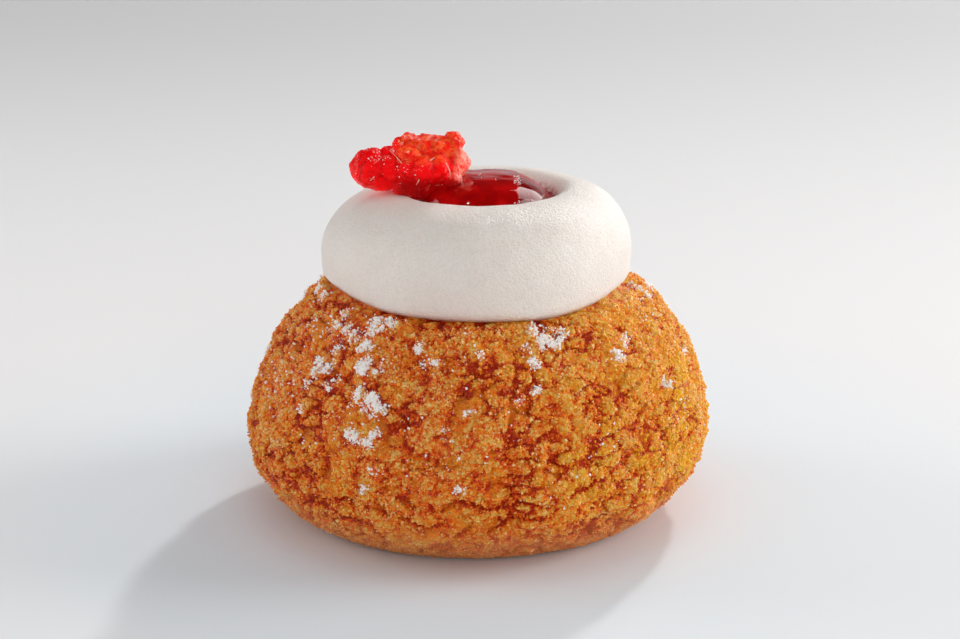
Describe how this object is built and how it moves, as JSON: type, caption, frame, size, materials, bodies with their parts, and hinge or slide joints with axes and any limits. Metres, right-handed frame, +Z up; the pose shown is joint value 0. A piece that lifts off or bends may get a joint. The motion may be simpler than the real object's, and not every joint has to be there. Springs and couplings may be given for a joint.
{
  "type": "choux bun",
  "caption": "Round choux bun with a craggy sugar crust, topped by a ring of whipped cream filled with domed berry jam and a torn piece of raspberry.",
  "frame": {"origin": "centre of the flat base that the bun rests on", "axes": "+Z up out of the base, -Y towards the side with the sugared crust shown, the raspberry piece lies towards -X"},
  "size_m": [0.081, 0.0805, 0.0666],
  "materials": {
    "crust": "golden brown crackled sugar crust, rough and granular",
    "cream": "soft satin whipped cream, warm white",
    "jam": "wet, deep red and clear",
    "raspberry": "juicy bright red drupelets with a dull frost of sugar",
    "powdered_sugar": "fine white powder in small clumps"
  },
  "bodies": {
    "root": {"bun": "crust", "cream_ring": "cream", "jam": "jam", "raspberry": "raspberry"}
  },
  "joints": []
}
